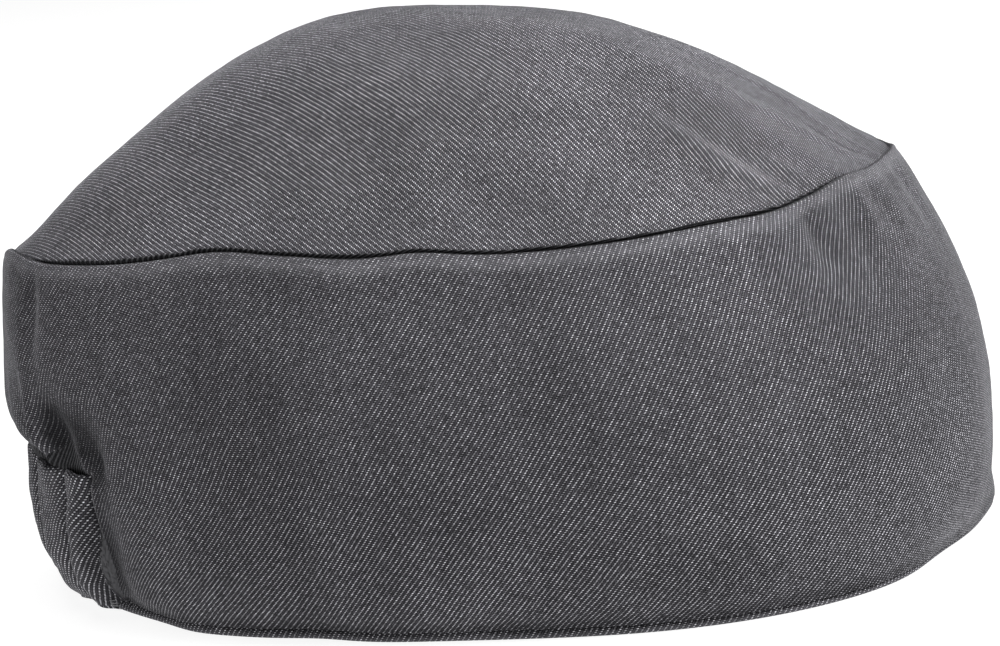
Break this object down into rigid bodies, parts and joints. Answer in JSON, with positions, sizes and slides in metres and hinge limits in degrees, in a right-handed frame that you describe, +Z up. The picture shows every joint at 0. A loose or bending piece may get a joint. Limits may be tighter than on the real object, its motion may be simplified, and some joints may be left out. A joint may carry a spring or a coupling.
{
  "type": "chef skull cap",
  "caption": "Low cook's skull cap in dark twill: a domed oval crown set into a tall soft side band that is gathered on elastic at the lower back.",
  "frame": {"origin": "on the surface that the cap rests on, under the middle of its overall length and width", "axes": "+X to the front of the cap, +Y to the wearer's left, +Z up"},
  "size_m": [0.2166, 0.1702, 0.1195],
  "materials": {
    "crown_twill": "matt dark charcoal twill with pale flecks",
    "band_twill": "matt dark charcoal twill with pale flecks",
    "hem_twill": "matt dark charcoal twill, turned and stitched"
  },
  "bodies": {
    "root": {"crown_panel": "crown_twill", "side_band": "band_twill", "elastic_casing": "band_twill", "edge_hem": "hem_twill"}
  },
  "joints": []
}
